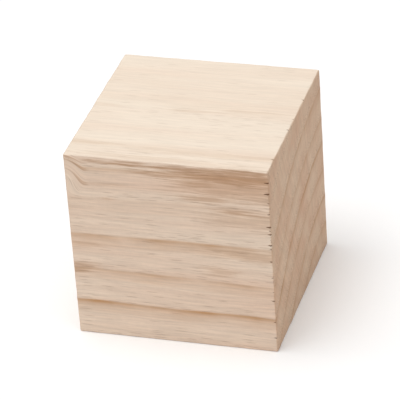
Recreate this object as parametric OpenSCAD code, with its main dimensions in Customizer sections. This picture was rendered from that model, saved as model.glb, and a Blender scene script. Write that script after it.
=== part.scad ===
// Plain bare block of light, open-grained wood, sawn to a cube.
// The grain runs along X: the two X faces are sawn end grain and the other
// four are long grain. Z is up, and the origin is the middle of the base.
// All sizes are in millimetres.

/* [Block] */
// Side of the finished cube
side = 48; // [20:0.5:120]

/* [Arrises] */
// Radius of the four arrises that run with the grain
grain_arris_r = 0.3; // [0.1:0.05:3]
// Radius of the eight arrises round the two sawn ends
end_arris_r = 0.4; // [0.1:0.05:3]

/* [Tear-out] */
// Length of the longest splinter pit, past the arris and along the grain
pit_length = 1.5; // [0.6:0.1:4]
// Width of the widest splinter pit, where it breaks the arris
pit_width = 0.65; // [0.3:0.05:1.2]

/* [Hidden] */

// Facets asked for on round forms
$fn = 48;

// How far a cutting shape runs past the face that it cuts
over = 0.2;

// Pits down the front right arris. Each is its share of the way down from the
// top face, and its size beside the largest pit.
front_pits = [
    [0.06, 0.85], [0.12, 1.00], [0.17, 0.60], [0.23, 0.65], [0.30, 0.95],
    [0.32, 0.60], [0.34, 0.80], [0.37, 0.50], [0.40, 0.85], [0.42, 0.55],
    [0.49, 0.65], [0.58, 0.60], [0.66, 0.45], [0.71, 0.75], [0.83, 0.55],
    [0.92, 0.65]
];

// Pits along the top right arris, each with its share of the way back from
// the front face, and its size in the same way.
top_pits = [
    [0.12, 0.60], [0.27, 0.40], [0.40, 0.60], [0.50, 0.45], [0.69, 0.55],
    [0.84, 0.40]
];

// A square of the block's side, centred, with its corners rounded
module eased_square(r) {
    flat = side - 2 * r;
    square([side, flat], center = true);
    square([flat, side], center = true);
    for (x = [-1, 1], y = [-1, 1])
        translate([x, y] * flat / 2) circle(r);
}

// The eased section, drawn out to the block's side and centred
module eased_bar(r) {
    linear_extrude(side, center = true) eased_square(r);
}

// The cube as sawn and lightly rubbed down: what the three bars have in common
module eased_block() {
    translate([0, 0, side / 2])
        intersection() {
            rotate([0, 90, 0]) eased_bar(grain_arris_r);
            rotate([90, 0, 0]) eased_bar(end_arris_r);
            eased_bar(end_arris_r);
        }
}

// One pit where fibres pulled out as the saw left the wood: a lying cone that
// is widest at the sawn end and rises out of the face at its tip. It is drawn
// for a face that looks up, with the sawn end looking along +X.
module splinter_pit(size) {
    width = pit_width * size;
    sink = width / 4;
    rise = width / 10;
    run = over + end_arris_r + pit_length * size;
    slope = atan2(sink + rise, run);
    translate([over, 0, -sink])
        rotate([0, slope - 90, 0])
            cylinder(h = norm([run, sink + rise]), r1 = width / 2, r2 = 0);
}

// The pits of the two arrises where the saw came out
module tear_out() {
    for (pit = front_pits)
        translate([side / 2, -side / 2, side * (1 - pit[0])])
            rotate([90, 0, 0]) splinter_pit(pit[1]);
    for (pit = top_pits)
        translate([side / 2, side * (pit[0] - 0.5), side])
            splinter_pit(pit[1]);
}

module wooden_cube() {
    color("#f0dfcb")
        difference() {
            eased_block();
            tear_out();
        }
}

wooden_cube();
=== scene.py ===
"""Dresses a plain wooden cube: the sawn block with its grain and tear-out, and a pale studio."""

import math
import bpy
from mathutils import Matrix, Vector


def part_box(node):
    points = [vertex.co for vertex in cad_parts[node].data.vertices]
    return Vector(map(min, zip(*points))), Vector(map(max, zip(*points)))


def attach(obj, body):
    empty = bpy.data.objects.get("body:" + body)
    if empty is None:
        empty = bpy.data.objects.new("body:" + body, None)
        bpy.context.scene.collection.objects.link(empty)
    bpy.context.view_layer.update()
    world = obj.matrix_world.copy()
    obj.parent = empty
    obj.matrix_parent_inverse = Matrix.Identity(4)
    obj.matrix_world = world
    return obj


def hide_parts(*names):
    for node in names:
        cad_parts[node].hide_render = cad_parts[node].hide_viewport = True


bl_info = {
    "name": "Wooden cube",
    "version": (1, 0, 0),
    "blender": (4, 5, 0),
    "location": "3D View > Sidebar > Wooden cube",
    "description": "Builds a bare sawn cube of pale wood and a pale studio round it",
    "category": "Object",
}

import bpy
from bpy.props import FloatProperty, FloatVectorProperty, IntProperty, PointerProperty
from mathutils import Matrix, Vector

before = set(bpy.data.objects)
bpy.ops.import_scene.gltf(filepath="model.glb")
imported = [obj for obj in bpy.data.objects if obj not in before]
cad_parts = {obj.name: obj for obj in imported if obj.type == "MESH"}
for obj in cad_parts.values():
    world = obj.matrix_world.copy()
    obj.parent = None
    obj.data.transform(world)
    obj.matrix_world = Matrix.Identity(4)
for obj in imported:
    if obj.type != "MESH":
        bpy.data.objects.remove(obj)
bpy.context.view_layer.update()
LOW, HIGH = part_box("wooden_cube")

MM = 0.001
SIDE_MM = (HIGH.x - LOW.x) / MM

# The kinds of node that the trees use most
MATH = "ShaderNodeMath"
VECTOR = "ShaderNodeVectorMath"
RANGE = "ShaderNodeMapRange"
RAMP = "ShaderNodeValToRGB"
NOISE = "ShaderNodeTexNoise"
MIX = "ShaderNodeMix"

# The pith runs along the grain, outside the block: how far it lies behind the
# front face and below the top face, in millimetres.
PITH = (48.7, 88.6)

# Where the growth rings end, as radii from the pith in millimetres, each with
# how strongly the line that ends it shows and the band before the line, from 0
# to 1.
RINGS = (
    (34.0, 0.5, 0.2), (41.0, 0.7, 0.3), (47.5, 0.5, 0.5), (55.0, 0.9, 0.3), (62.5, 0.6, 0.1),
    (69.4, 0.8, 0.5), (75.8, 0.4, 0.3), (83.6, 0.5, 0.45), (92.0, 0.15, 0.0), (98.7, 0.45, 0.0),
    (104.0, 0.6, 0.4), (112.0, 0.6, 0.4),
)

# Profiles through one ring, from its start at 0 to its end at 1, each stop with
# its level: the line that ends a ring, which is sharp on the outside, where
# growth stopped, the band before it, and the early wood with its open pores.
RING_LINE = ((0.0, 0.55), (0.03, 0.15), (0.08, 0.0), (0.8, 0.0), (0.9, 0.45), (0.96, 1.0), (1.0, 0.9))
RING_BAND = ((0.0, 0.3), (0.05, 0.0), (0.62, 0.0), (0.72, 0.8), (0.8, 0.7), (1.0, 1.0))
EARLY_WOOD = ((0.0, 0.6), (0.02, 1.0), (0.12, 0.9), (0.26, 0.3), (0.6, 0.1), (1.0, 0.06))

# Rays are thin sheets that run out from the pith. How many fit in a millimetre
# along the grain, in a radian round the pith and in a millimetre out from it.
# Real ones are a tenth of a millimetre thick at most, which is too fine to show,
# so these are drawn several times as thick.
RAYS = (1.1, 130.0, 0.14)

# How the grain wanders: the length of a wave along and across the grain, and
# how far it moves the rings either way at most, in millimetres.
WAVES = ((70.0, 30.0, 1.1), (18.0, 8.0, 0.35))

# A knot at the left end bends the grain up: where it is along the grain, behind
# the front face and below the top face, how far it reaches in each direction,
# and how far it lifts the grain, in millimetres.
KNOT = (-24.0, 0.0, 5.0)
KNOT_REACH = (5.2, 5.0, 7.0)
KNOT_LIFT = 4.6

# Noise drawn out along the grain: how long and how thick its streaks are in
# millimetres, its detail and its seed. Fibre is the silky figure. Single fibres
# are too fine to show, so it draws them as bundles up to half a millimetre
# thick. Tone is a slow change of colour, and Broken is where ring lines fade.
# Each runs from 0 to 1, and mostly keeps between a quarter and three quarters.
GRAIN_NOISE = (
    ("Fibre", 10.0, 0.5, 4.0, 0.0),
    ("Tone", 110.0, 8.0, 2.0, 10.0),
    ("Broken", 15.0, 8.0, 2.0, 1.0),
)

# What a ring line's strength is multiplied by where it fades most and least
LINE_FADE = (0.4, 1.1)

# Mineral streaks: where each is along the grain, behind the front face and
# below the top face, its half length and half thickness, all in millimetres,
# and its strength from 0 to 1. Those on the front face come first, then those
# on the top.
MINERAL_STREAKS = (
    (16.0, 0.0, 2.4, 22.0, 2.8, 0.68),
    (12.0, 0.0, 3.4, 16.0, 0.8, 0.7),
    (3.0, 0.0, 1.3, 15.0, 0.85, 0.7),
    (-14.0, 0.0, 0.8, 7.0, 0.7, 0.6),
    (-22.5, 0.0, 1.5, 4.0, 0.9, 0.5),
    (-9.0, 0.0, 1.0, 8.0, 0.9, 0.7),
    (18.0, 0.0, 5.2, 18.0, 4.0, 0.4),
    (8.0, 0.0, 4.4, 9.0, 1.4, 0.55),
    (-20.1, 0.0, 3.1, 2.2, 0.6, 0.5),
    (-20.4, 0.0, 7.0, 2.6, 0.6, 0.45),
    (-13.0, 0.0, 6.9, 11.0, 0.5, 0.25),
    (9.0, 0.0, 8.4, 7.0, 1.2, 0.45),
    (17.0, 0.0, 11.5, 8.0, 0.9, 0.55),
    (22.0, 0.0, 13.0, 14.0, 3.0, 0.25),
    (-14.0, 0.0, 10.4, 2.4, 0.5, 0.4),
    (20.0, 0.0, 22.6, 14.0, 1.8, 0.35),
    (-22.0, 0.0, 23.6, 7.0, 1.1, 0.3),
    (-23.5, 0.0, 30.0, 6.0, 1.6, 0.45),
    (11.5, 0.0, 27.6, 5.0, 1.6, 0.3),
    (-19.0, 6.6, 0.0, 8.0, 0.7, 0.4),
    (0.0, 4.8, 0.0, 14.0, 0.6, 0.2),
    (19.0, 6.1, 0.0, 9.0, 0.7, 0.3),
    (2.0, 1.9, 0.0, 32.0, 1.3, 0.3),
    (-22.0, 24.0, 0.0, 5.0, 1.0, 0.35),
    (0.0, 24.3, 0.0, 9.0, 0.9, 0.4),
    (13.0, 25.6, 0.0, 11.0, 0.8, 0.3),
)

# A streak is gone at the first share of its half size and full at the second
STREAK_EDGE = (1.25, 0.35)

# How far the fibres shift a streak's edge over the whole range of their noise,
# as a share of its half size
STREAK_RAGGED = 2.8

# The line that the saw blade turned about, which runs along the grain far from
# the block: a point on it, in millimetres from the middle of the base, and how
# many of the blade's marks fit in a millimetre.
BLADE_AXIS = (0.0, -70.0, 150.0)
BLADE_MARKS = 0.9

# Open pores: how far apart they are along and across the grain, in millimetres,
# and the shares of that at which a pore starts and is fully open. They come out
# at about their real size, up to 0.25 mm across and 4 mm long.
PORE_SPACING = (5.5, 0.36, 0.36)
PORE_EDGE = (0.36, 0.2)

# Relief too fine for the mesh, in millimetres: how deep the pores are cut open,
# and how far the fibres rise over the whole range of their noise.
PORE_DEPTH = 0.03
FIBRE_RISE = 0.05

# How many patches of uneven wear, of low places and of ragged pit wall fit in a
# metre
WEAR_PATCHES = 250.0
HOLLOW_PATCHES = 70.0
SPLINTER_PATCHES = 3000.0

# How much an arris radius changes over the whole range of its noise at full
# wear, as a share of the radius
WEAR_SWING = 4.0

# How far a pit's wall strays either way at most, in metres
SPLINTER_SWING = 0.1 * MM

# Pits down the front right arris: share of the way down, and size beside the
# largest pit. They are the same ones as in the solid.
FRONT_PITS = (
    (0.06, 0.85), (0.12, 1.00), (0.17, 0.60), (0.23, 0.65), (0.30, 0.95),
    (0.32, 0.60), (0.34, 0.80), (0.37, 0.50), (0.40, 0.85), (0.42, 0.55),
    (0.49, 0.65), (0.58, 0.60), (0.66, 0.45), (0.71, 0.75), (0.83, 0.55),
    (0.92, 0.65),
)

# Pits along the top right arris: share of the way back, and size in the same way
TOP_PITS = (
    (0.12, 0.60), (0.27, 0.40), (0.40, 0.60), (0.50, 0.45), (0.69, 0.55),
    (0.84, 0.40),
)

# How far a pit's cone runs out past the sawn end
PIT_OVERRUN = 0.2 * MM

# The stage, in metres: half the floor's side, the distances from the middle
# between which its own shade gives way to plain white, and the softbox's side
# and place.
FLOOR_REACH = 3.0
FLOOR_FADE = (0.1, 0.4)
SOFTBOX_SIDE = 0.6
SOFTBOX_PLACE = (-0.15, -0.1, 0.9)

# The width of the camera's sensor, in millimetres
SENSOR_WIDTH = 36.0


def length(name, description, default):
    """A length property, in metres."""
    return FloatProperty(
        name=name, description=description, default=default, min=0.0, unit="LENGTH", precision=5
    )


def linear(code):
    """Linear RGBA of an sRGB hex code."""
    parts = [int(code[i:i + 2], 16) / 255 for i in (0, 2, 4)]
    return (*(c / 12.92 if c <= 0.04045 else ((c + 0.055) / 1.055) ** 2.4 for c in parts), 1.0)


def colour(name, description, code):
    """A colour property whose default is an sRGB hex code."""
    return FloatVectorProperty(
        name=name, description=description, default=linear(code), subtype="COLOR", size=4
    )


def share(name, description, default):
    """A property from 0 to 1."""
    return FloatProperty(name=name, description=description, default=default, min=0.0, max=1.0)


class BlockSettings(bpy.types.PropertyGroup):
    """Sizes of the block and of its sawn surface."""

    side: length("Side", "Side of the finished cube", HIGH.x - LOW.x)
    grain_arris: length("Grain arris", "Radius of the arrises along the grain", 0.3 * MM)
    end_arris: length("End arris", "Radius of the arrises round the sawn ends", 0.4 * MM)
    arris_wear: share("Arris wear", "How unevenly the arrises are rubbed down", 0.6)
    ring_relief: length("Ring relief", "How far soft early wood sinks", 0.03 * MM)
    hollows: length("Hollows", "Greatest depth of the low places that sanding left", 0.08 * MM)
    saw_marks: length("Saw marks", "Greatest depth of the blade's marks on the ends", 0.04 * MM)
    pit_length: length("Pit length", "Length of the longest splinter pit", 1.5 * MM)
    pit_width: length("Pit width", "Width of the widest splinter pit", 0.65 * MM)
    along: IntProperty(name="Lines along", description="Mesh lines along the grain", default=80)
    across: IntProperty(name="Lines across", description="Mesh lines across it", default=148)
    crowding: share("Crowding", "How far the mesh lines gather at the arrises", 0.9)


class WoodSettings(bpy.types.PropertyGroup):
    """Colours of the bare wood."""

    pale: colour("Pale wood", "Early wood between the rings", "eedfcd")
    pink: colour("Pinkish wood", "Slow patches of warmer wood", "e6cdb8")
    late: colour("Late wood", "The line that ends each ring", "c39a70")
    stain: colour("Mineral streak", "The darkest brown streaks", "ad7f56")
    shaded_pore: colour("Pore", "Open vessels and torn fibres", "7d5a3c")
    end: colour("End grain", "Tint of the sawn end grain", "e7dcd1")
# This colour darkens the open pores and the torn pits, partly for their own darker fibres and partly as
# painted shade in them


class StudioSettings(bpy.types.PropertyGroup):
    """The camera and the light."""

    camera: FloatVectorProperty(
        name="Camera", description="Place of the camera", size=3, subtype="TRANSLATION",
        unit="LENGTH", default=(0.1791, -0.5526, 0.3746),
    )
    roll: FloatProperty(
        name="Roll", description="Turn of the camera about its own axis", subtype="ANGLE",
        default=math.radians(4.16),
    )
    lens: FloatProperty(name="Lens", description="Focal length in millimetres", default=261.0)
    sky: FloatProperty(name="Sky", description="Strength of the even light", default=0.55)
    softbox: FloatProperty(
        name="Softbox", description="Power of the overhead lamp", default=4.6, unit="POWER"
    )


# The inputs of the block's tree that are sizes: label, socket type and setting
SIZE_INPUTS = (
    ("Side", "Float", "side"),
    ("Grain arris", "Float", "grain_arris"),
    ("End arris", "Float", "end_arris"),
    ("Arris wear", "Float", "arris_wear"),
    ("Ring relief", "Float", "ring_relief"),
    ("Hollows", "Float", "hollows"),
    ("Saw marks", "Float", "saw_marks"),
    ("Crowding", "Float", "crowding"),
    ("Lines along", "Int", "along"),
    ("Lines across", "Int", "across"),
)


def add(tree, kind, settings=None, sockets=None):
    """Add a node, set its properties, and link or set its input sockets."""
    node = tree.nodes.new(kind)
    for key, value in (settings or {}).items():
        setattr(node, key, value)
    for key, value in (sockets or {}).items():
        if isinstance(value, bpy.types.NodeSocket):
            tree.links.new(value, node.inputs[key])
        else:
            node.inputs[key].default_value = value
    return node


def fill_ramp(node, stops):
    """Give a colour ramp node grey stops, each a place and a level, and return its colour."""
    elements = node.color_ramp.elements
    while len(elements) < len(stops):
        elements.new(0.5)
    for element, (place, level) in zip(elements, stops):
        element.position = place
        element.color = (level, level, level, 1.0)
    return node.outputs["Color"]


def open_group(name, kind, inputs, outputs):
    """A new node group with its named sockets, and its input and output nodes."""
    tree = bpy.data.node_groups.new(name, kind)
    for in_out, sockets in (("INPUT", inputs), ("OUTPUT", outputs)):
        for label, socket_type in sockets:
            tree.interface.new_socket(label, in_out=in_out, socket_type="NodeSocket" + socket_type)
    return tree, add(tree, "NodeGroupInput").outputs, add(tree, "NodeGroupOutput").inputs


def blank_material(name):
    """A new material, and its empty node tree."""
    material = bpy.data.materials.new(name)
    material.use_nodes = True
    material.node_tree.nodes.clear()
    return material, material.node_tree


def block_point(along, behind, below):
    """A point in millimetres, given along the grain, behind the front face and below the top one."""
    return (along, behind - SIDE_MM / 2, SIDE_MM - below)


def per(lengths):
    """How many of each length fit in one unit."""
    return tuple(1 / size for size in lengths)


def reaches_away(tree, point, centre, reach):
    """How far a point is from a centre, where the centre's reach in each direction counts as 1."""
    off = add(tree, VECTOR, {"operation": "SUBTRACT"}, {0: point, 1: centre})
    scaled = add(tree, VECTOR, {"operation": "MULTIPLY"}, {0: off.outputs[0], 1: per(reach)})
    return add(tree, VECTOR, {"operation": "LENGTH"}, {0: scaled.outputs[0]}).outputs["Value"]


def round_axis(tree, point, centre):
    """A point's offset from a centre, and its distance from the line along X through it."""
    off = add(tree, VECTOR, {"operation": "SUBTRACT"}, {0: point, 1: centre}).outputs[0]
    flat = add(tree, VECTOR, {"operation": "MULTIPLY"}, {0: off, 1: (0, 1, 1)})
    return off, add(tree, VECTOR, {"operation": "LENGTH"}, {0: flat.outputs[0]}).outputs["Value"]


def straight_grain(tree, mm):
    """Where a point would be if the knot and the waves had not bent its grain."""
    away = reaches_away(tree, mm, block_point(*KNOT), KNOT_REACH)
    lift = add(
        tree, RANGE, {"interpolation_type": "SMOOTHSTEP"}, {0: away, 1: 1.0, 2: 0.0, 3: 0.0, 4: KNOT_LIFT}
    )
    raised = add(tree, "ShaderNodeCombineXYZ", None, {"Z": lift.outputs[0]})
    straight = add(tree, VECTOR, {"operation": "SUBTRACT"}, {0: mm, 1: raised.outputs[0]}).outputs[0]
    for along, across, swing in WAVES:
        waved = add(tree, VECTOR, {"operation": "MULTIPLY"}, {0: mm, 1: per((along, across, across))})
        noise = add(tree, NOISE, None, {"Vector": waved.outputs[0], "Scale": 1.0, "Detail": 1.0})
        shift = add(
            tree, VECTOR, {"operation": "MULTIPLY_ADD"},
            {0: noise.outputs["Color"], 1: (0, 2 * swing, 2 * swing), 2: (0, -swing, -swing)},
        )
        straight = add(
            tree, VECTOR, {"operation": "ADD"}, {0: straight, 1: shift.outputs[0]}
        ).outputs[0]
    return straight


def wood_rings(tree, grain):
    """Late wood, early wood and rays at a point in millimetres whose grain is straight."""
    across, radius = round_axis(tree, grain, block_point(0.0, *PITH))
    first, last = RINGS[0][0], RINGS[-1][0]
    place = add(tree, RANGE, None, {0: radius, 1: first, 2: last}).outputs[0]
    stops = [((ring - first) / (last - first), line, band) for ring, line, band in RINGS]

    # The count of rings up to this place, whose fraction is the season in its ring
    years = fill_ramp(
        add(tree, RAMP, None, {0: place}),
        [(stop[0], number / (len(RINGS) - 1)) for number, stop in enumerate(stops)],
    )
    count = add(tree, MATH, {"operation": "MULTIPLY"}, {0: years, 1: len(RINGS) - 1})
    season = add(tree, MATH, {"operation": "FRACT"}, {0: count.outputs[0]}).outputs[0]
    late = 0.0
    for number, profile in ((1, RING_LINE), (2, RING_BAND)):
        strength = fill_ramp(
            add(tree, RAMP, None, {0: place}), [(stop[0], stop[number]) for stop in stops]
        )
        shape = fill_ramp(add(tree, RAMP, None, {0: season}), profile)
        late = add(
            tree, MATH, {"operation": "MULTIPLY_ADD"}, {0: shape, 1: strength, 2: late}
        ).outputs[0]
    early = fill_ramp(add(tree, RAMP, None, {0: season}), EARLY_WOOD)

    apart = add(tree, "ShaderNodeSeparateXYZ", None, {0: across}).outputs
    angle = add(tree, MATH, {"operation": "ARCTAN2"}, {0: apart["Y"], 1: apart["Z"]})
    sheet = add(
        tree, "ShaderNodeCombineXYZ", None, {"X": apart["X"], "Y": angle.outputs[0], "Z": radius}
    )
    thin = add(tree, VECTOR, {"operation": "MULTIPLY"}, {0: sheet.outputs[0], 1: RAYS})
    rays = add(tree, NOISE, None, {"Vector": thin.outputs[0], "Scale": 1.0, "Detail": 1.0})
    return late, early, rays.outputs["Fac"]


def mineral_streaks(tree, grain, fibre):
    """How strongly a mineral streak colours a point, from 0 to 1."""
    wander = add(
        tree, MATH, {"operation": "MULTIPLY_ADD"}, {0: fibre, 1: STREAK_RAGGED, 2: -STREAK_RAGGED / 2}
    )
    total = 0.0
    for along, behind, below, half_length, half_thickness, strength in MINERAL_STREAKS:
        centre = block_point(along, behind, below)
        away = reaches_away(tree, grain, centre, (half_length, half_thickness, half_thickness))
        ragged = add(tree, MATH, {"operation": "ADD"}, {0: away, 1: wander.outputs[0]})
        fade = add(
            tree, RANGE, {"interpolation_type": "SMOOTHSTEP"},
            {0: ragged.outputs[0], 1: STREAK_EDGE[0], 2: STREAK_EDGE[1], 3: 0.0, 4: strength},
        )
        total = add(tree, MATH, {"operation": "MAXIMUM"}, {0: fade.outputs[0], 1: total}).outputs[0]
    return total


def saw_arcs(tree, mm):
    """The marks that the blade leaves on a face it crosses, from 0 to 1."""
    reach = round_axis(tree, mm, BLADE_AXIS)[1]
    turns = add(tree, "ShaderNodeCombineXYZ", None, {"X": reach})
    return add(
        tree, NOISE, None,
        {"Vector": turns.outputs[0], "Scale": BLADE_MARKS, "Detail": 3.0, "Roughness": 0.7},
    ).outputs["Fac"]


def solid_wood(kind):
    """The wood inside the block, as a node group for shader or geometry trees.

    It takes a point of the block in metres. Late is the hard line that ends a
    ring, Early its porous start, Tone a slow change of colour, Fibre a fine
    streak along the grain, Rays the sheets that run out from the pith, Stain a
    mineral streak, Saw the blade's marks, and Grain the point with its grain
    made straight, in millimetres.
    """
    marks = ("Late", "Early", "Tone", "Fibre", "Rays", "Stain", "Saw")
    outputs = [(name, "Float") for name in marks] + [("Grain", "Vector")]
    tree, given, result = open_group("Solid wood", kind, [("Point", "Vector")], outputs)
    mm = add(tree, VECTOR, {"operation": "SCALE"}, {0: given["Point"], 3: 1 / MM}).outputs[0]
    grain = straight_grain(tree, mm)
    noise = {}
    for name, run, thick, detail, seed in GRAIN_NOISE:
        drawn = add(tree, VECTOR, {"operation": "MULTIPLY"}, {0: grain, 1: per((run, thick, thick))})
        noise[name] = add(
            tree, NOISE, {"noise_dimensions": "4D"},
            {"Vector": drawn.outputs[0], "W": seed, "Scale": 1.0, "Detail": detail, "Roughness": 0.6},
        ).outputs["Fac"]

    late, early, rays = wood_rings(tree, grain)
    broken = add(
        tree, RANGE, None, {0: noise["Broken"], 1: 0.35, 2: 0.65, 3: LINE_FADE[0], 4: LINE_FADE[1]}
    )
    line = add(tree, MATH, {"operation": "MULTIPLY"}, {0: late, 1: broken.outputs[0]})
    found = {
        "Late": line.outputs[0], "Early": early, "Tone": noise["Tone"], "Fibre": noise["Fibre"],
        "Rays": rays, "Stain": mineral_streaks(tree, grain, noise["Fibre"]),
        "Saw": saw_arcs(tree, mm), "Grain": grain,
    }
    for name, output in found.items():
        tree.links.new(output, result[name])
    return tree


def open_pores(tree, block):
    """Where a pore lies open, from 0 to 1. There are few of them outside the early wood."""
    cells = add(tree, VECTOR, {"operation": "MULTIPLY"}, {0: block["Grain"], 1: per(PORE_SPACING)})
    cell = add(tree, "ShaderNodeTexVoronoi", None, {"Vector": cells.outputs[0], "Scale": 1.0})
    dot = add(
        tree, RANGE, {"interpolation_type": "SMOOTHSTEP"},
        {0: cell.outputs["Distance"], 1: PORE_EDGE[0], 2: PORE_EDGE[1]},
    )
    pick = add(tree, "ShaderNodeSeparateXYZ", None, {0: cell.outputs["Color"]})
    kept = add(tree, MATH, {"operation": "LESS_THAN"}, {0: pick.outputs["X"], 1: block["Early"]})
    return add(
        tree, MATH, {"operation": "MULTIPLY"}, {0: dot.outputs[0], 1: kept.outputs[0]}
    ).outputs[0]


def bare_paulownia(wood):
    """Bare paulownia, sawn and rubbed down with fine paper, with no oil or varnish.

    It is pale, silky and quite matt. Each ring starts with a band of pores that
    are open enough to see, as short dashes on the faces and as dots on the
    ends, and closes with a thin tan line. Sawn end grain is darker.
    """
    material, tree = blank_material("bare_paulownia")
    place = add(tree, "ShaderNodeTexCoord").outputs["Object"]
    group = add(tree, "ShaderNodeGroup", {"node_tree": solid_wood("ShaderNodeTree")}, {"Point": place})
    block = group.outputs
    shaded_pore = open_pores(tree, block)
    marks = {}
    for name in ("end_grain", "faded", "torn"):
        marks[name] = add(tree, "ShaderNodeAttribute", {"attribute_name": name}).outputs["Fac"]

    warm = add(tree, RANGE, None, {0: block["Tone"], 1: 0.4, 2: 0.7})
    shade = add(
        tree, MIX, {"data_type": "RGBA"}, {0: warm.outputs[0], 6: wood.pale, 7: wood.pink}
    ).outputs[2]
    # A streak is golden where it is faint and brown where it is strong
    streak = add(
        tree, MIX, {"data_type": "RGBA"}, {0: block["Stain"], 6: wood.late, 7: wood.stain}
    ).outputs[2]
    # Each: how much it shows on the faces and on the sawn ends, and its colour
    for mask, on_face, on_end, tint in (
        (block["Late"], 0.8, 0.55, wood.late),
        (block["Stain"], 1.0, 0.35, streak),
        # Open pores, darkened partly with painted shade in them
        (shaded_pore, 0.24, 0.5, wood.shaded_pore),
        # Painted highlight: the upward faces are mixed towards the pale wood, for the bright light on the
        # top
        (marks["faded"], 0.45, 0.45, wood.pale),
        # Painted shade in the pits, over their darker torn fibres
        (marks["torn"], 0.85, 0.85, wood.shaded_pore),
    ):
        strength = add(tree, RANGE, None, {0: marks["end_grain"], 3: on_face, 4: on_end})
        amount = add(tree, MATH, {"operation": "MULTIPLY"}, {0: mask, 1: strength.outputs[0]})
        shade = add(
            tree, MIX, {"data_type": "RGBA"}, {0: amount.outputs[0], 6: shade, 7: tint}
        ).outputs[2]

    # Light that the fibres, rays and saw marks catch: how much darker and
    # lighter each makes the wood, and how much of that shows on the faces and
    # on the sawn ends. The top, whose paler colour is a painted highlight, shows half of it.
    quiet = add(tree, RANGE, None, {0: marks["faded"], 3: 1.0, 4: 0.5}).outputs[0]
    for mask, dark, light, on_face, on_end in (
        (block["Fibre"], -0.16, 0.12, 1.0, 0.4),
        (block["Rays"], -0.05, 0.08, 0.25, 1.0),
        (block["Saw"], -0.05, 0.05, 0.0, 1.0),
    ):
        silk = add(tree, RANGE, None, {0: mask, 1: 0.25, 2: 0.75, 3: dark, 4: light})
        part = add(tree, RANGE, None, {0: marks["end_grain"], 3: on_face, 4: on_end})
        shown = add(tree, MATH, {"operation": "MULTIPLY"}, {0: part.outputs[0], 1: quiet})
        gain = add(
            tree, MATH, {"operation": "MULTIPLY_ADD"},
            {0: silk.outputs[0], 1: shown.outputs[0], 2: 1.0},
        )
        shade = add(
            tree, VECTOR, {"operation": "SCALE"}, {0: shade, 3: gain.outputs[0]}
        ).outputs[0]
    shade = add(
        tree, MIX, {"data_type": "RGBA", "blend_type": "MULTIPLY"},
        {0: marks["end_grain"], 6: shade, 7: wood.end},
    ).outputs[2]

    raised = add(tree, MATH, {"operation": "MULTIPLY"}, {0: block["Fibre"], 1: FIBRE_RISE})
    height = add(
        tree, MATH, {"operation": "MULTIPLY_ADD"}, {0: shaded_pore, 1: -PORE_DEPTH, 2: raised.outputs[0]}
    )
    bump = add(
        tree, "ShaderNodeBump", None, {"Strength": 1.0, "Distance": MM, "Height": height.outputs[0]}
    )
    rough = add(tree, RANGE, None, {0: shaded_pore, 3: 0.72, 4: 0.9})
    shader = add(tree, "ShaderNodeBsdfPrincipled", None, {
        "Base Color": shade, "Roughness": rough.outputs[0], "Normal": bump.outputs[0],
        "Specular IOR Level": 0.3,
    })
    add(tree, "ShaderNodeOutputMaterial", None, {"Surface": shader.outputs[0]})
    return material


def ease_corner():
    """A group that rounds a square corner in a plane, given two coordinates."""
    tree, given, result = open_group(
        "Ease corner", "GeometryNodeTree",
        [("A", "Float"), ("B", "Float"), ("Half", "Float"), ("Radius", "Float")],
        [("A", "Float"), ("B", "Float")],
    )
    # How far each coordinate is past the flat part of its face
    flat = add(
        tree, MATH, {"operation": "SUBTRACT"}, {0: given["Half"], 1: given["Radius"]}
    ).outputs[0]
    size, past = {}, {}
    for name in ("A", "B"):
        size[name] = add(tree, MATH, {"operation": "ABSOLUTE"}, {0: given[name]}).outputs[0]
        out = add(tree, MATH, {"operation": "SUBTRACT"}, {0: size[name], 1: flat})
        past[name] = add(
            tree, MATH, {"operation": "MAXIMUM"}, {0: out.outputs[0], 1: 0.0}
        ).outputs[0]
    # Pull both in, so that squares round the corner's centre become circles
    both = add(tree, "ShaderNodeCombineXYZ", None, {"X": past["A"], "Y": past["B"]})
    reach = add(tree, VECTOR, {"operation": "LENGTH"}, {0: both.outputs[0]})
    not_zero = add(tree, MATH, {"operation": "MAXIMUM"}, {0: reach.outputs["Value"], 1: 1e-9})
    widest = add(tree, MATH, {"operation": "MAXIMUM"}, {0: past["A"], 1: past["B"]})
    pull = add(tree, MATH, {"operation": "DIVIDE"}, {0: widest.outputs[0], 1: not_zero.outputs[0]})
    for name in ("A", "B"):
        inner = add(tree, MATH, {"operation": "MINIMUM"}, {0: size[name], 1: flat})
        eased = add(
            tree, MATH, {"operation": "MULTIPLY_ADD"},
            {0: past[name], 1: pull.outputs[0], 2: inner.outputs[0]},
        )
        sign = add(tree, MATH, {"operation": "SIGN"}, {0: given[name]})
        signed = add(
            tree, MATH, {"operation": "MULTIPLY"}, {0: eased.outputs[0], 1: sign.outputs[0]}
        )
        tree.links.new(signed.outputs[0], result[name])
    return tree


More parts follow.
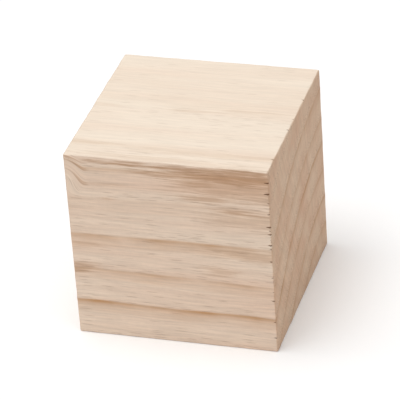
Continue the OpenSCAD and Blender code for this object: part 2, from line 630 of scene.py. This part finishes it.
def eased_box(tree, given, here):
    """A box of the block's side, with its mesh lines gathered at arrises that are eased."""
    # Its side is 2 at first, so that a sine moves its lines towards the arrises
    box = add(tree, "GeometryNodeMeshCube", None, {
        0: (2.0, 2.0, 2.0), "Vertices X": given["Lines along"],
        "Vertices Y": given["Lines across"], "Vertices Z": given["Lines across"],
    })
    half = add(tree, MATH, {"operation": "MULTIPLY"}, {0: given["Side"], 1: 0.5}).outputs[0]
    turned = add(tree, VECTOR, {"operation": "SCALE"}, {0: here, 3: math.pi / 2})
    gathered = add(tree, VECTOR, {"operation": "SINE"}, {0: turned.outputs[0]})
    mixed = add(
        tree, MIX, {"data_type": "VECTOR"}, {0: given["Crowding"], 4: here, 5: gathered.outputs[0]}
    )
    sized = add(tree, VECTOR, {"operation": "SCALE"}, {0: mixed.outputs[1], 3: half}).outputs[0]

    # Ease the arrises, each pair of coordinates in turn, by a radius that varies
    wear = add(tree, NOISE, None, {"Vector": sized, "Scale": WEAR_PATCHES, "Detail": 3.0})
    above = add(tree, MATH, {"operation": "SUBTRACT"}, {0: wear.outputs["Fac"], 1: 0.5})
    worn = add(tree, MATH, {"operation": "MULTIPLY"}, {0: above.outputs[0], 1: given["Arris wear"]})
    grow = add(
        tree, MATH, {"operation": "MULTIPLY_ADD"}, {0: worn.outputs[0], 1: WEAR_SWING, 2: 1.0}
    ).outputs[0]
    apart = add(tree, "ShaderNodeSeparateXYZ", None, {0: sized}).outputs
    axis = {"X": apart["X"], "Y": apart["Y"], "Z": apart["Z"]}
    corner = ease_corner()
    for first, second, radius in (
        ("Y", "Z", "Grain arris"), ("X", "Y", "End arris"), ("X", "Z", "End arris"),
    ):
        rubbed = add(tree, MATH, {"operation": "MULTIPLY"}, {0: given[radius], 1: grow})
        eased = add(tree, "GeometryNodeGroup", {"node_tree": corner}, {
            "A": axis[first], "B": axis[second], "Half": half, "Radius": rubbed.outputs[0],
        })
        axis[first], axis[second] = eased.outputs["A"], eased.outputs["B"]
    raised = add(tree, MATH, {"operation": "ADD"}, {0: axis["Z"], 1: half})
    placed = add(
        tree, "ShaderNodeCombineXYZ", None, {"X": axis["X"], "Y": axis["Y"], "Z": raised.outputs[0]}
    )
    return add(tree, "GeometryNodeSetPosition", None, {
        "Geometry": box.outputs["Mesh"], "Position": placed.outputs[0],
    }).outputs[0]


def rub_down(tree, given, here, shape):
    """Sink the surface, and mark which of it is end grain and which is the top, which the wood paints
    paler as a painted highlight.
    """
    wood = add(tree, "GeometryNodeGroup", {"node_tree": solid_wood("GeometryNodeTree")}, {"Point": here})
    normal = add(tree, "GeometryNodeInputNormal").outputs["Normal"]
    facing = add(tree, "ShaderNodeSeparateXYZ", None, {0: normal})
    end_on = add(tree, MATH, {"operation": "ABSOLUTE"}, {0: facing.outputs["X"]})
    # Each mark comes in over the arris, as the surface turns to face its way
    smooth = {"interpolation_type": "SMOOTHSTEP"}
    end = add(tree, RANGE, smooth, {0: end_on.outputs[0], 1: 0.1, 2: 0.7}).outputs[0]
    # How far the surface faces up, for the painted highlight that pales the top
    faded = add(tree, RANGE, smooth, {0: facing.outputs["Z"], 1: 0.3, 2: 0.9}).outputs[0]

    # Soft wood between the ring lines, low places, and saw marks on the ends
    soft = add(tree, MATH, {"operation": "SUBTRACT"}, {0: 1.0, 1: wood.outputs["Late"]})
    low = add(tree, NOISE, None, {"Vector": here, "Scale": HOLLOW_PATCHES, "Detail": 1.0})
    marks = add(tree, MATH, {"operation": "MULTIPLY"}, {0: wood.outputs["Saw"], 1: end})
    depth = 0.0
    for amount, name in (
        (soft.outputs[0], "Ring relief"), (low.outputs["Fac"], "Hollows"),
        (marks.outputs[0], "Saw marks"),
    ):
        depth = add(
            tree, MATH, {"operation": "MULTIPLY_ADD"}, {0: amount, 1: given[name], 2: depth}
        ).outputs[0]
    inward = add(tree, MATH, {"operation": "MULTIPLY"}, {0: depth, 1: -1.0})
    sink = add(tree, VECTOR, {"operation": "SCALE"}, {0: normal, 3: inward.outputs[0]})
    marked = add(
        tree, "GeometryNodeSetPosition", None, {"Geometry": shape, "Offset": sink.outputs[0]}
    ).outputs[0]
    per_point = {"data_type": "FLOAT", "domain": "POINT"}
    for name, value in (("end_grain", end), ("faded", faded)):
        marked = add(tree, "GeometryNodeStoreNamedAttribute", per_point, {
            "Geometry": marked, "Name": name, "Value": value,
        }).outputs[0]
    return marked


def tear_out(tree, given, here, marked):
    """Cut a ragged cone out of the block at each point of the Pits object."""
    spots = add(tree, "GeometryNodeObjectInfo", None, {"Object": given["Pits"]})
    # A cone as wide as it is long, which the size of each pit then stretches
    cone = add(tree, "GeometryNodeMeshCone", None, {
        "Vertices": 10, "Side Segments": 6, "Radius Top": 0.0, "Radius Bottom": 0.5, "Depth": 1.0,
    })
    vector = {"data_type": "FLOAT_VECTOR"}
    lie = add(tree, "GeometryNodeInputNamedAttribute", vector, {"Name": "lie"})
    size = add(tree, "GeometryNodeInputNamedAttribute", vector, {"Name": "size"})
    turn = add(tree, "FunctionNodeEulerToRotation", None, {0: lie.outputs[0]})
    cones = add(tree, "GeometryNodeInstanceOnPoints", None, {
        "Points": spots.outputs["Geometry"], "Instance": cone.outputs["Mesh"],
        "Rotation": turn.outputs[0], "Scale": size.outputs[0],
    })
    loose = add(tree, "GeometryNodeRealizeInstances", None, {"Geometry": cones.outputs[0]})
    rough = add(tree, NOISE, None, {"Vector": here, "Scale": SPLINTER_PATCHES, "Detail": 1.0})
    ragged = add(
        tree, VECTOR, {"operation": "MULTIPLY_ADD"},
        {0: rough.outputs["Color"], 1: (2 * SPLINTER_SWING,) * 3, 2: (-SPLINTER_SWING,) * 3},
    )
    splinters = add(tree, "GeometryNodeSetPosition", None, {
        "Geometry": loose.outputs[0], "Offset": ragged.outputs[0],
    })
    # Tag the pit walls, which the wood darkens: torn fibres with painted shade in the pits
    per_face = {"data_type": "FLOAT", "domain": "FACE"}
    tagged = add(tree, "GeometryNodeStoreNamedAttribute", per_face, {
        "Geometry": splinters.outputs[0], "Name": "torn", "Value": 1.0,
    })
    return add(tree, "GeometryNodeMeshBoolean", {"operation": "DIFFERENCE", "solver": "MANIFOLD"}, {
        "Mesh 1": marked, "Mesh 2": tagged.outputs[0],
    }).outputs["Mesh"]


def sawn_block():
    """The tree that saws the block, rubs it down and tears its arrises."""
    inputs = [(label, kind) for label, kind, name in SIZE_INPUTS]
    tree, given, result = open_group(
        "Sawn block", "GeometryNodeTree", inputs + [("Pits", "Object"), ("Wood", "Material")],
        [("Geometry", "Geometry")],
    )
    here = add(tree, "GeometryNodeInputPosition").outputs[0]
    marked = rub_down(tree, given, here, eased_box(tree, given, here))
    torn = tear_out(tree, given, here, marked)
    whole = add(tree, "GeometryNodeRealizeInstances", None, {"Geometry": torn})
    smooth = add(tree, "GeometryNodeSetShadeSmooth", None, {"Geometry": whole.outputs[0]})
    dressed = add(tree, "GeometryNodeSetMaterial", None, {
        "Geometry": smooth.outputs[0], "Material": given["Wood"],
    })
    tree.links.new(dressed.outputs[0], result["Geometry"])
    return tree


def pit_points(block):
    """A mesh of loose points, one for each pit, with how its cone lies and its size."""
    half = block.side / 2
    spots = [
        (Vector((half, -half, block.side * (1 - at))), Matrix.Rotation(math.pi / 2, 3, "X"), size)
        for at, size in FRONT_PITS
    ]
    spots += [
        (Vector((half, block.side * (at - 0.5), block.side)), Matrix.Identity(3), size)
        for at, size in TOP_PITS
    ]
    mesh = bpy.data.meshes.new("pits")
    mesh.from_pydata([place for place, lie, size in spots], [], [])
    for name in ("lie", "size"):
        mesh.attributes.new(name, "FLOAT_VECTOR", "POINT")
    for number, (place, lie, size) in enumerate(spots):
        # The cone is sunk by a quarter of its width at the sawn end, and rises
        # out of the face by a tenth of it at its tip, as in the solid.
        width = block.pit_width * size
        sink, rise = width / 4, width / 10
        run = PIT_OVERRUN + block.end_arris + block.pit_length * size
        slope = math.atan2(sink + rise, run)
        mesh.vertices[number].co = place + lie @ Vector((PIT_OVERRUN, 0, -sink))
        turn = lie @ Matrix.Rotation(slope - math.pi / 2, 3, "Y")
        mesh.attributes["lie"].data[number].vector = turn.to_euler()
        mesh.attributes["size"].data[number].vector = (width, width, math.hypot(run, sink + rise))
    return bpy.data.objects.new("pits", mesh)


class WOODENCUBE_OT_block(bpy.types.Operator):
    """Saw the block, rub it down and tear its arrises"""

    bl_idname = "wooden_cube.block"
    bl_label = "Make the block"

    def execute(self, context):
        scene = context.scene
        block = scene.wooden_cube_block
        wood = bare_paulownia(scene.wooden_cube_wood)
        pits = pit_points(block)
        carrier = bpy.data.objects.new("carrier", bpy.data.meshes.new("carrier"))
        for helper in (pits, carrier):
            scene.collection.objects.link(helper)
        tree = sawn_block()
        modifier = carrier.modifiers.new("Sawn block", "NODES")
        modifier.node_group = tree
        values = {label: getattr(block, name) for label, kind, name in SIZE_INPUTS}
        values |= {"Pits": pits, "Wood": wood}
        for item in tree.interface.items_tree:
            if item.in_out == "INPUT":
                modifier[item.identifier] = values[item.name]
        made = carrier.evaluated_get(context.evaluated_depsgraph_get())
        mesh = bpy.data.meshes.new_from_object(made)
        if not mesh.polygons:
            raise RuntimeError("the block came out empty")
        piece = bpy.data.objects.new("cube_block", mesh)
        scene.collection.objects.link(piece)
        for helper in (pits, carrier):
            bpy.data.objects.remove(helper)
        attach(piece, "root")
        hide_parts("wooden_cube")
        return {"FINISHED"}


def seen(tree, strength):
    """That strength for what the camera sees, straight or in a gloss, and 0 for the light."""
    rays = add(tree, "ShaderNodeLightPath").outputs
    total = rays["Is Camera Ray"]
    for kind in ("Is Glossy Ray", "Is Transmission Ray"):
        total = add(tree, MATH, {"operation": "MAXIMUM"}, {0: total, 1: rays[kind]}).outputs[0]
    return add(tree, MATH, {"operation": "MULTIPLY"}, {0: total, 1: strength}).outputs[0]


def matt_white_card():
    """Matt white card, which takes a soft shadow and is plain white away from it."""
    material, tree = blank_material("matt_white_card")
    # It throws a slightly pink light up at the wood, and looks near white itself
    card = add(tree, MIX, {"data_type": "RGBA"}, {
        0: seen(tree, 1.0), 6: linear("f8eae2"), 7: linear("fbfbfb"),
    })
    white = (1, 1, 1, 1)
    diffuse = add(tree, "ShaderNodeBsdfDiffuse", None, {"Color": card.outputs[2]})
    glow = add(tree, "ShaderNodeEmission", None, {"Color": white, "Strength": seen(tree, 0.08)})
    near = add(tree, "ShaderNodeAddShader", None, {0: diffuse.outputs[0], 1: glow.outputs[0]})
    # Past the shadow the camera sees the card plain white, out to the horizon
    place = add(tree, "ShaderNodeTexCoord").outputs["Object"]
    reach = add(tree, VECTOR, {"operation": "LENGTH"}, {0: place})
    out = add(
        tree, RANGE, {"interpolation_type": "SMOOTHSTEP"},
        {0: reach.outputs["Value"], 1: FLOOR_FADE[0], 2: FLOOR_FADE[1]},
    )
    far = add(tree, MATH, {"operation": "MULTIPLY"}, {0: out.outputs[0], 1: seen(tree, 1.0)})
    plain = add(tree, "ShaderNodeEmission", None, {"Color": white, "Strength": 1.0})
    shader = add(tree, "ShaderNodeMixShader", None, {
        0: far.outputs[0], 1: near.outputs[0], 2: plain.outputs[0],
    })
    add(tree, "ShaderNodeOutputMaterial", None, {"Surface": shader.outputs[0]})
    return material


class WOODENCUBE_OT_studio(bpy.types.Operator):
    """Lay a pale floor, hang a softbox and set up the camera"""

    bl_idname = "wooden_cube.studio"
    bl_label = "Make the studio"

    def execute(self, context):
        scene = context.scene
        studio = scene.wooden_cube_studio
        scene.view_settings.view_transform = "Standard"
        self.lay_floor(scene)
        self.light_evenly(scene, studio)
        self.hang_softbox(scene, studio)
        self.place_camera(scene, studio)
        return {"FINISHED"}

    def lay_floor(self, scene):
        mesh = bpy.data.meshes.new("floor")
        corners = [
            (x * FLOOR_REACH, y * FLOOR_REACH, 0) for x, y in ((-1, -1), (1, -1), (1, 1), (-1, 1))
        ]
        mesh.from_pydata(corners, [], [(0, 1, 2, 3)])
        mesh.materials.append(matt_white_card())
        floor = bpy.data.objects.new("floor", mesh)
        scene.collection.objects.link(floor)

    def light_evenly(self, scene, studio):
        world = bpy.data.worlds.new("studio")
        scene.world = world
        world.use_nodes = True
        tree = world.node_tree
        tree.nodes.clear()
        white = (1, 1, 1, 1)
        even = add(tree, "ShaderNodeBackground", None, {"Color": white, "Strength": studio.sky})
        plain = add(tree, "ShaderNodeBackground", None, {"Color": white, "Strength": 1.0})
        pick = add(tree, "ShaderNodeMixShader", None, {
            0: seen(tree, 1.0), 1: even.outputs[0], 2: plain.outputs[0],
        })
        add(tree, "ShaderNodeOutputWorld", None, {"Surface": pick.outputs[0]})

    def hang_softbox(self, scene, studio):
        data = bpy.data.lights.new("softbox", "AREA")
        data.shape = "SQUARE"
        data.size = SOFTBOX_SIDE
        data.energy = studio.softbox
        lamp = bpy.data.objects.new("softbox", data)
        lamp.location = SOFTBOX_PLACE
        lamp.rotation_euler = (-lamp.location).to_track_quat("-Z", "Y").to_euler()
        lamp.visible_camera = False
        scene.collection.objects.link(lamp)

    def place_camera(self, scene, studio):
        data = bpy.data.cameras.new("camera")
        data.sensor_width = SENSOR_WIDTH
        data.lens = studio.lens
        camera = bpy.data.objects.new("camera", data)
        place = Vector(studio.camera)
        aim = (LOW + HIGH) / 2
        facing = (aim - place).to_track_quat("-Z", "Y").to_matrix()
        rolled = facing @ Matrix.Rotation(-studio.roll, 3, "Z")
        camera.matrix_world = Matrix.Translation(place) @ rolled.to_4x4()
        scene.collection.objects.link(camera)
        scene.camera = camera


class WOODENCUBE_PT_panel(bpy.types.Panel):
    """The cube's operators and sizes"""

    bl_idname = "WOODENCUBE_PT_panel"
    bl_label = "Wooden cube"
    bl_space_type = "VIEW_3D"
    bl_region_type = "UI"
    bl_category = "Wooden cube"

    def draw(self, context):
        for operator, groups in STEPS:
            box = self.layout.box()
            box.operator(operator.bl_idname)
            for group in groups:
                settings = getattr(context.scene, group)
                for name in settings.__annotations__:
                    box.prop(settings, name)


STEPS = (
    (WOODENCUBE_OT_block, ("wooden_cube_block", "wooden_cube_wood")),
    (WOODENCUBE_OT_studio, ("wooden_cube_studio",)),
)

SETTINGS = {
    "wooden_cube_block": BlockSettings,
    "wooden_cube_wood": WoodSettings,
    "wooden_cube_studio": StudioSettings,
}

CLASSES = (*SETTINGS.values(), WOODENCUBE_OT_block, WOODENCUBE_OT_studio, WOODENCUBE_PT_panel)


def register():
    for item in CLASSES:
        bpy.utils.register_class(item)
    for name, group in SETTINGS.items():
        setattr(bpy.types.Scene, name, PointerProperty(type=group))


def unregister():
    for name in SETTINGS:
        delattr(bpy.types.Scene, name)
    for item in reversed(CLASSES):
        bpy.utils.unregister_class(item)


def main():
    register()
    bpy.ops.wooden_cube.block()
    bpy.ops.wooden_cube.studio()


if __name__ == "__main__":
    main()
